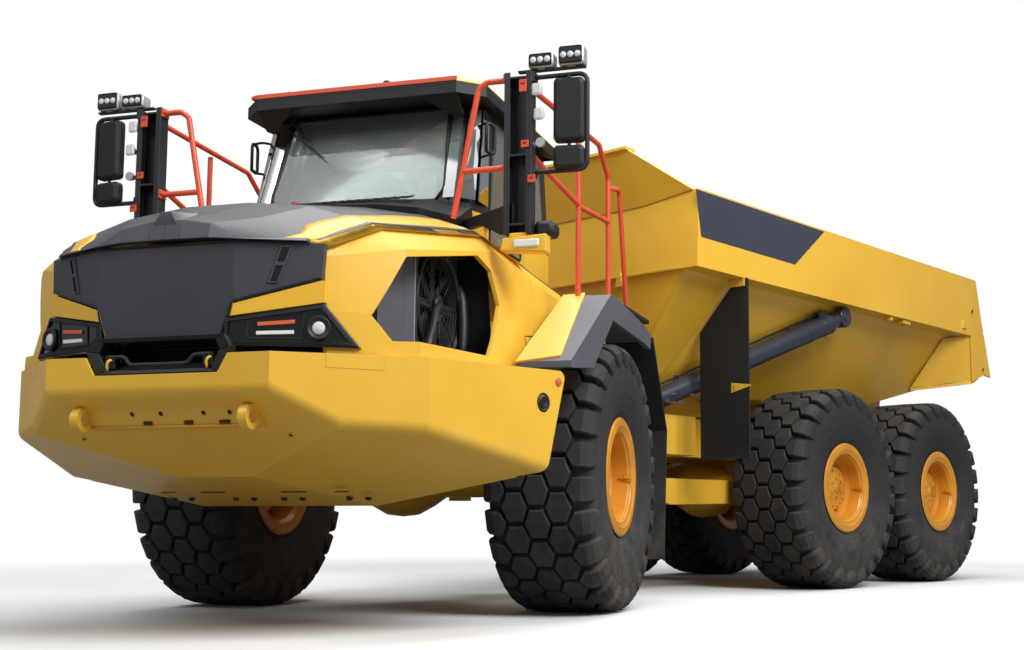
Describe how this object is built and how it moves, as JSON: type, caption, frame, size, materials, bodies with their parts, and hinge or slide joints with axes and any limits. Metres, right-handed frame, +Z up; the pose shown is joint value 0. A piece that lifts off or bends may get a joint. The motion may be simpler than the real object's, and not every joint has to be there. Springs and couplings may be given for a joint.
{
  "type": "articulated dump truck",
  "caption": "Off-road hauler with a front cab unit hinged to a rear frame, a tipping load body with a sloped tail, big lugged tyres and a sloping grey hood",
  "frame": {"origin": "on the ground under the middle of the bounding box, with the front unit turned 25 degrees to the left as in the picture", "axes": "+Y runs along the rear frame and load body to the tail, +X to the truck's left, +Z up"},
  "size_m": [4.3908, 10.8207, 3.82],
  "materials": {
    "yellow_paint": "semi-gloss yellow machine paint, light dust low down",
    "grey_paint": "satin charcoal paint",
    "rail_paint": "semi-gloss orange-red paint",
    "dark_metal": "satin near-black paint",
    "tyre_rubber": "matt rubber with light dust",
    "rim_paint": "semi-gloss yellow paint",
    "engine_iron": "cast and painted metal, dull",
    "rod_steel": "hard chrome, polished",
    "flap_rubber": "matt black rubber sheet",
    "cab_trim": "grained interior trim and fabric",
    "cab_glass": "clear, faint grey-green tint",
    "lamp_glass": "dark gloss housing with clear lenses"
  },
  "bodies": {
    "rear_unit": {"rear_frame": "yellow_paint", "rear_axles": "yellow_paint", "bogie_beams": "yellow_paint"},
    "hitch_block": {"hitch": "yellow_paint"},
    "front_unit": {"front_frame": "grey_paint", "bumper": "yellow_paint", "hood_top": "grey_paint", "hood_sides": "yellow_paint", "nose_panel": "grey_paint", "headlamps": "lamp_glass", "engine": "engine_iron", "fenders": "grey_paint", "mudguards": "grey_paint", "cab_shell": "yellow_paint", "cab_roof": "yellow_paint", "cab_glass": "cab_glass", "cab_interior": "cab_trim", "platform": "dark_metal", "masts": "dark_metal", "handrails": "rail_paint", "front_axle": "yellow_paint"},
    "door": {"cab_door": "yellow_paint", "door_glass": "cab_glass"},
    "load_body": {"dump_body": "yellow_paint", "mud_flaps": "flap_rubber"},
    "wheel_front_left": {"tyre_front_left": "tyre_rubber", "rim_front_left": "rim_paint"},
    "wheel_mid_left": {"tyre_mid_left": "tyre_rubber", "rim_mid_left": "rim_paint"},
    "wheel_rear_left": {"tyre_rear_left": "tyre_rubber", "rim_rear_left": "rim_paint"},
    "hoist_barrel_left_body": {"hoist_barrel_left": "dark_metal"},
    "hoist_rod_left_body": {"hoist_rod_left": "rod_steel"},
    "steering_barrel_left_body": {"steering_barrel_left": "dark_metal"},
    "steering_rod_left_body": {"steering_rod_left": "rod_steel"},
    "wheel_front_right": {"tyre_front_right": "tyre_rubber", "rim_front_right": "rim_paint"},
    "wheel_mid_right": {"tyre_mid_right": "tyre_rubber", "rim_mid_right": "rim_paint"},
    "wheel_rear_right": {"tyre_rear_right": "tyre_rubber", "rim_rear_right": "rim_paint"},
    "hoist_barrel_right_body": {"hoist_barrel_right": "dark_metal"},
    "hoist_rod_right_body": {"hoist_rod_right": "rod_steel"},
    "steering_barrel_right_body": {"steering_barrel_right": "dark_metal"},
    "steering_rod_right_body": {"steering_rod_right": "rod_steel"}
  },
  "joints": [
    {"name": "roll", "type": "hinge", "parent": "rear_unit", "child": "hitch_block", "pos_m": [-0.495, -0.925, 1.15], "axis": [0, 1, 0], "range_deg": [-12, 12]},
    {"name": "articulation", "type": "hinge", "parent": "hitch_block", "child": "front_unit", "pos_m": [-0.495, -1.325, 1.15], "axis": [0, 0, 1], "range_deg": [-70, 20]},
    {"name": "cab_door", "type": "hinge", "parent": "front_unit", "child": "door", "pos_m": [1.03699, -2.54705, 2.56], "axis": [0, 0, -1], "range_deg": [0, 45]},
    {"name": "dump", "type": "hinge", "parent": "rear_unit", "child": "load_body", "pos_m": [-0.495, 4.56, 1.75], "axis": [-1, 0, 0], "range_deg": [0, 70]},
    {"name": "front_wheel_left", "type": "hinge", "parent": "front_unit", "child": "wheel_front_left", "pos_m": [1.17073, -1.77852, 0.9375], "axis": [0.9063, 0.4226, 0], "continuous": true},
    {"name": "front_wheel_right", "type": "hinge", "parent": "front_unit", "child": "wheel_front_right", "pos_m": [-1.21829, -2.89254, 0.9375], "axis": [0.9063, 0.4226, 0], "continuous": true},
    {"name": "mid_wheel_left", "type": "hinge", "parent": "rear_unit", "child": "wheel_mid_left", "pos_m": [0.823, 2.078, 0.9375], "axis": [1, 0, 0], "continuous": true},
    {"name": "mid_wheel_right", "type": "hinge", "parent": "rear_unit", "child": "wheel_mid_right", "pos_m": [-1.813, 2.078, 0.9375], "axis": [1, 0, 0], "continuous": true},
    {"name": "rear_wheel_left", "type": "hinge", "parent": "rear_unit", "child": "wheel_rear_left", "pos_m": [0.823, 4.018, 0.9375], "axis": [1, 0, 0], "continuous": true},
    {"name": "rear_wheel_right", "type": "hinge", "parent": "rear_unit", "child": "wheel_rear_right", "pos_m": [-1.813, 4.018, 0.9375], "axis": [1, 0, 0], "continuous": true},
    {"name": "hoist_swing_left", "type": "hinge", "parent": "rear_unit", "child": "hoist_barrel_left_body", "pos_m": [0.195, -0.39, 1.43], "axis": [0.774, -0.2411, 0.5855], "range_deg": [0, 11.2]},
    {"name": "hoist_stroke_left", "type": "slide", "parent": "hoist_barrel_left_body", "child": "hoist_rod_left_body", "axis": [0.2747, 0.8819, 0.3832], "range_m": [0, 2.385]},
    {"name": "hoist_swing_right", "type": "hinge", "parent": "rear_unit", "child": "hoist_barrel_right_body", "pos_m": [-1.185, -0.39, 1.43], "axis": [0.774, 0.2411, -0.5855], "range_deg": [0, 11.2]},
    {"name": "hoist_stroke_right", "type": "slide", "parent": "hoist_barrel_right_body", "child": "hoist_rod_right_body", "axis": [-0.2747, 0.8819, 0.3832], "range_m": [0, 2.385]},
    {"name": "steering_swing_left", "type": "hinge", "parent": "front_unit", "child": "steering_barrel_left_body", "pos_m": [0.54724, -1.90375, 1.18], "axis": [0, 0, 1], "range_deg": [-2.5, 8.5]},
    {"name": "steering_stroke_left", "type": "slide", "parent": "steering_barrel_left_body", "child": "steering_rod_left_body", "axis": [-0.622, 0.783, 0], "range_m": [-0.1371, 0.4775]},
    {"name": "steering_swing_right", "type": "hinge", "parent": "front_unit", "child": "steering_barrel_right_body", "pos_m": [-0.72159, -2.49542, 1.18], "axis": [0, 0, 1], "range_deg": [-2.5, 8.5]},
    {"name": "steering_stroke_right", "type": "slide", "parent": "steering_barrel_right_body", "child": "steering_rod_right_body", "axis": [-0.0916, 0.9958, 0], "range_m": [-0.4897, 0.1406]}
  ],
  "couplings": [
    {"joint": "hoist_swing_left", "follows": "dump", "ratio": 0.1586},
    {"joint": "hoist_stroke_left", "follows": "dump", "m_per_rad": 1.9481},
    {"joint": "hoist_swing_right", "follows": "dump", "ratio": 0.1586},
    {"joint": "hoist_stroke_right", "follows": "dump", "m_per_rad": 1.9481},
    {"joint": "steering_swing_left", "follows": "articulation", "ratio": -0.12},
    {"joint": "steering_stroke_left", "follows": "articulation", "m_per_rad": -0.39},
    {"joint": "steering_swing_right", "follows": "articulation", "ratio": -0.12},
    {"joint": "steering_stroke_right", "follows": "articulation", "m_per_rad": 0.4}
  ]
}
